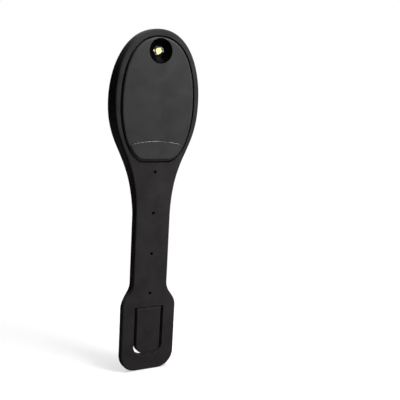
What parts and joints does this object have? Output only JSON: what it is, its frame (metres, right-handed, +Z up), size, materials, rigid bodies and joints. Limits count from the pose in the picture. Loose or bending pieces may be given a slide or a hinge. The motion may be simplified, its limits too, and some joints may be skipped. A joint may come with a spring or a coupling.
{
  "type": "flexible reading light",
  "caption": "Slim clip-on reading light: egg-shaped head with a recessed lamp and press pad, a stem that bends and stays put, and a flat foot with a spring tongue for pages.",
  "frame": {"origin": "front face of the foot, in the middle of the bar below the tongue, where the clip bears on a page", "axes": "+X to the right seen from the front, +Y from the lamp side to the back, +Z up along the straight stem to the head"},
  "size_m": [0.0256, 0.0069, 0.0992],
  "materials": {
    "soft_skin": "matte soft-touch skin, black",
    "panel_plastic": "fine matte moulded texture, very dark grey",
    "pad_plastic": "fine matte moulded texture with a polished edge",
    "cover_plastic": "fine matte moulded texture, black",
    "carrier_plastic": "plain moulded, black",
    "bezel_plastic": "polished black",
    "lamp_package": "black moulded package with two bright leads",
    "phosphor": "yellow phosphor coat",
    "clear_lens": "clear cast dome",
    "board_laminate": "green solder mask",
    "chip_plastic": "black moulded component",
    "cell_steel": "nickel-plated steel",
    "seal_plastic": "translucent seal ring",
    "cell_pellet": "pressed powder and foil",
    "contact_metal": "spring bronze",
    "strip_steel": "annealed bright strip",
    "screw_steel": "blackened steel"
  },
  "bodies": {
    "foot": {"foot_shell": "soft_skin", "foot_plate": "strip_steel"},
    "tongue": {"clip_tongue": "soft_skin", "tongue_leaf": "strip_steel"},
    "link_1": {"stem_link_1": "soft_skin", "stem_strip_1": "strip_steel"},
    "link_2": {"stem_link_2": "soft_skin", "stem_strip_2": "strip_steel"},
    "link_3": {"stem_link_3": "soft_skin", "stem_strip_3": "strip_steel"},
    "head": {"head_shell": "soft_skin", "carrier_frame": "carrier_plastic", "front_panel": "panel_plastic", "switch_dome": "contact_metal", "lamp_bezel": "bezel_plastic", "lamp_base": "lamp_package", "lamp_phosphor": "phosphor", "lamp_lens": "clear_lens", "circuit_board": "board_laminate", "latch_chip": "chip_plastic", "resistor": "chip_plastic", "cell_can": "cell_steel", "cell_seal": "seal_plastic", "cell_cap": "cell_steel", "cell_pellet": "cell_pellet", "negative_spring": "contact_metal", "positive_spring": "contact_metal", "back_cover": "cover_plastic", "cover_screw": "screw_steel", "head_strip": "strip_steel", "strip_rivets": "screw_steel"},
    "pad": {"press_pad": "pad_plastic"}
  },
  "joints": [
    {"name": "bend_1", "type": "hinge", "parent": "foot", "child": "link_1", "pos_m": [0, 0.0017, 0.02445], "axis": [1, 0, 0], "range_deg": [-27.5, 27.5]},
    {"name": "bend_2", "type": "hinge", "parent": "link_1", "child": "link_2", "pos_m": [0, 0.0017, 0.03042], "axis": [1, 0, 0], "range_deg": [-27.5, 27.5]},
    {"name": "bend_3", "type": "hinge", "parent": "link_2", "child": "link_3", "pos_m": [0, 0.0017, 0.03638], "axis": [1, 0, 0], "range_deg": [-27.5, 27.5]},
    {"name": "bend_4", "type": "hinge", "parent": "link_3", "child": "head", "pos_m": [0, 0.0017, 0.04235], "axis": [1, 0, 0], "range_deg": [-27.5, 27.5]},
    {"name": "tongue_flex", "type": "hinge", "parent": "foot", "child": "tongue", "pos_m": [0, 0.0012, 0.01645], "axis": [-1, 0, 0], "range_deg": [0, 18], "stiffness_Nm_per_rad": 0.02},
    {"name": "pad_press", "type": "slide", "parent": "head", "child": "pad", "axis": [0, 1, 0], "range_m": [0, 0.00035], "stiffness_N_per_m": 800}
  ]
}
